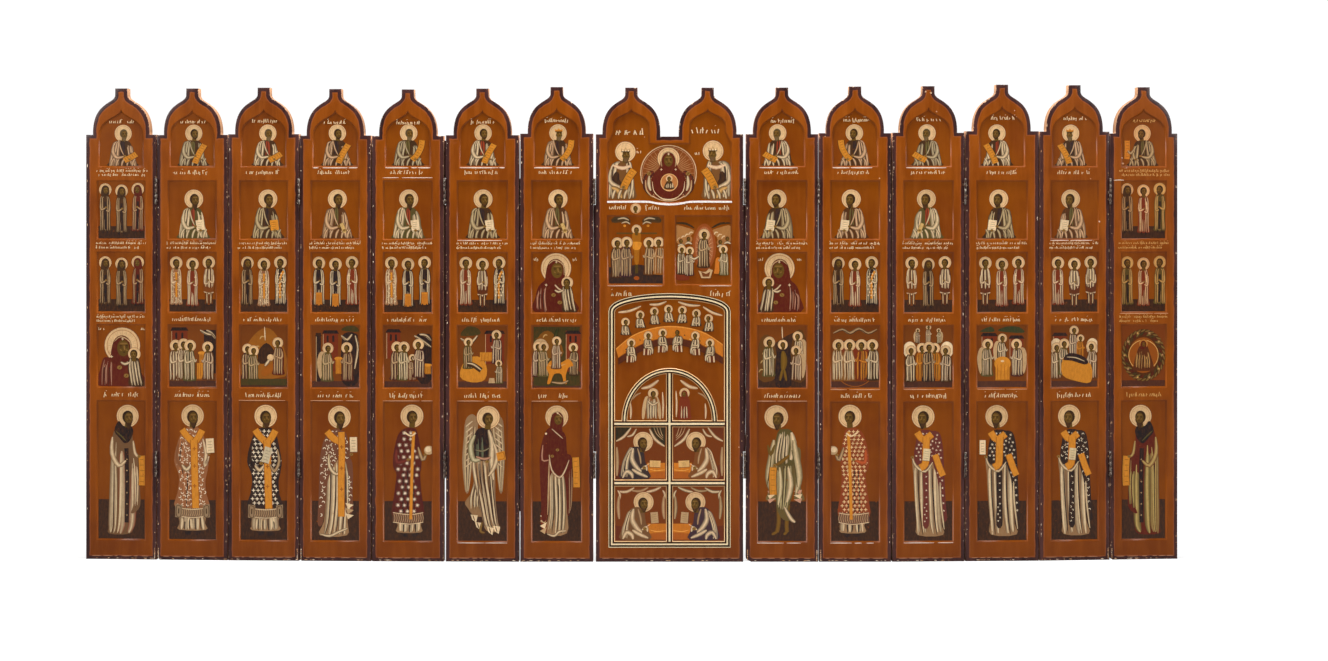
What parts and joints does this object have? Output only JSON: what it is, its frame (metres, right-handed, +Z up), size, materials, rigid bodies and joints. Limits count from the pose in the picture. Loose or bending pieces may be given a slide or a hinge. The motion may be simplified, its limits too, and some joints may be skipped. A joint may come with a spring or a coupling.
{
  "type": "folding travelling iconostasis",
  "caption": "Folding travelling iconostasis of painted wooden leaves with ogee domes and sunken fields, hinged to pack face to face and back to back.",
  "frame": {"origin": "middle of the box's underside, on the surface that the leaves stand on, opened as in the picture", "axes": "+X to the viewer's right along the opened leaves, +Y to the back, away from the painted faces, +Z up"},
  "size_m": [0.8822, 0.0218, 0.3828],
  "materials": {
    "painted_wood": "painted in tempera under warm, half-gloss oil varnish, dark brown painted edges, bare pale wood on sides and back",
    "old_iron": "dark old iron, worn brighter on the knuckles"
  },
  "bodies": {
    "centre_leaf": {"leaf_08_centre": "painted_wood", "hinge_07_08_upper": "old_iron", "hinge_07_08_lower": "old_iron", "hinge_08_09_upper": "old_iron", "hinge_08_09_lower": "old_iron"},
    "leaf_07": {"leaf_07": "painted_wood", "hinge_06_07_upper": "old_iron", "hinge_06_07_lower": "old_iron"},
    "leaf_06": {"leaf_06": "painted_wood", "hinge_05_06_upper": "old_iron", "hinge_05_06_lower": "old_iron"},
    "leaf_05": {"leaf_05": "painted_wood", "hinge_04_05_upper": "old_iron", "hinge_04_05_lower": "old_iron"},
    "leaf_04": {"leaf_04": "painted_wood", "hinge_03_04_upper": "old_iron", "hinge_03_04_lower": "old_iron"},
    "leaf_03": {"leaf_03": "painted_wood", "hinge_02_03_upper": "old_iron", "hinge_02_03_lower": "old_iron"},
    "leaf_02": {"leaf_02": "painted_wood", "hinge_01_02_upper": "old_iron", "hinge_01_02_lower": "old_iron"},
    "leaf_01": {"leaf_01": "painted_wood"},
    "leaf_09": {"leaf_09": "painted_wood", "hinge_09_10_upper": "old_iron", "hinge_09_10_lower": "old_iron"},
    "leaf_10": {"leaf_10": "painted_wood", "hinge_10_11_upper": "old_iron", "hinge_10_11_lower": "old_iron"},
    "leaf_11": {"leaf_11": "painted_wood", "hinge_11_12_upper": "old_iron", "hinge_11_12_lower": "old_iron"},
    "leaf_12": {"leaf_12": "painted_wood", "hinge_12_13_upper": "old_iron", "hinge_12_13_lower": "old_iron"},
    "leaf_13": {"leaf_13": "painted_wood", "hinge_13_14_upper": "old_iron", "hinge_13_14_lower": "old_iron"},
    "leaf_14": {"leaf_14": "painted_wood"}
  },
  "joints": [
    {"name": "fold_07_08", "type": "hinge", "parent": "centre_leaf", "child": "leaf_07", "pos_m": [-0.02978, -0.00987, 0.19], "axis": [0, 0, 1], "range_deg": [0, 178]},
    {"name": "fold_06_07", "type": "hinge", "parent": "leaf_07", "child": "leaf_06", "pos_m": [-0.08978, 0.00073, 0.19], "axis": [0, 0, -1], "range_deg": [-0.9, 177.1]},
    {"name": "fold_05_06", "type": "hinge", "parent": "leaf_06", "child": "leaf_05", "pos_m": [-0.14994, -0.00893, 0.19], "axis": [0, 0, 1], "range_deg": [0, 178]},
    {"name": "fold_04_05", "type": "hinge", "parent": "leaf_05", "child": "leaf_04", "pos_m": [-0.20866, 0.0026, 0.19], "axis": [0, 0, -1], "range_deg": [-0.9, 177.1]},
    {"name": "fold_03_04", "type": "hinge", "parent": "leaf_04", "child": "leaf_03", "pos_m": [-0.26727, -0.00617, 0.19], "axis": [0, 0, 1], "range_deg": [0, 178]},
    {"name": "fold_02_03", "type": "hinge", "parent": "leaf_03", "child": "leaf_02", "pos_m": [-0.32471, 0.00624, 0.19], "axis": [0, 0, -1], "range_deg": [-0.9, 177.1]},
    {"name": "fold_01_02", "type": "hinge", "parent": "leaf_02", "child": "leaf_01", "pos_m": [-0.38334, -0.0016, 0.19], "axis": [0, 0, 1], "range_deg": [0, 178]},
    {"name": "fold_08_09", "type": "hinge", "parent": "centre_leaf", "child": "leaf_09", "pos_m": [0.09062, -0.00987, 0.19], "axis": [0, 0, -1], "range_deg": [0, 90]},
    {"name": "fold_09_10", "type": "hinge", "parent": "leaf_09", "child": "leaf_10", "pos_m": [0.15002, -0.00987, 0.19], "axis": [0, 0, -1], "range_deg": [0, 178]},
    {"name": "fold_10_11", "type": "hinge", "parent": "leaf_10", "child": "leaf_11", "pos_m": [0.20842, 0.00073, 0.19], "axis": [0, 0, 1], "range_deg": [-1.9, 176.1]},
    {"name": "fold_11_12", "type": "hinge", "parent": "leaf_11", "child": "leaf_12", "pos_m": [0.26774, -0.00791, 0.19], "axis": [0, 0, -1], "range_deg": [0, 178]},
    {"name": "fold_12_13", "type": "hinge", "parent": "leaf_12", "child": "leaf_13", "pos_m": [0.32726, 0.00467, 0.19], "axis": [0, 0, 1], "range_deg": [-1.9, 176.1]},
    {"name": "fold_13_14", "type": "hinge", "parent": "leaf_13", "child": "leaf_14", "pos_m": [0.38563, -0.00207, 0.19], "axis": [0, 0, -1], "range_deg": [0, 178]}
  ]
}
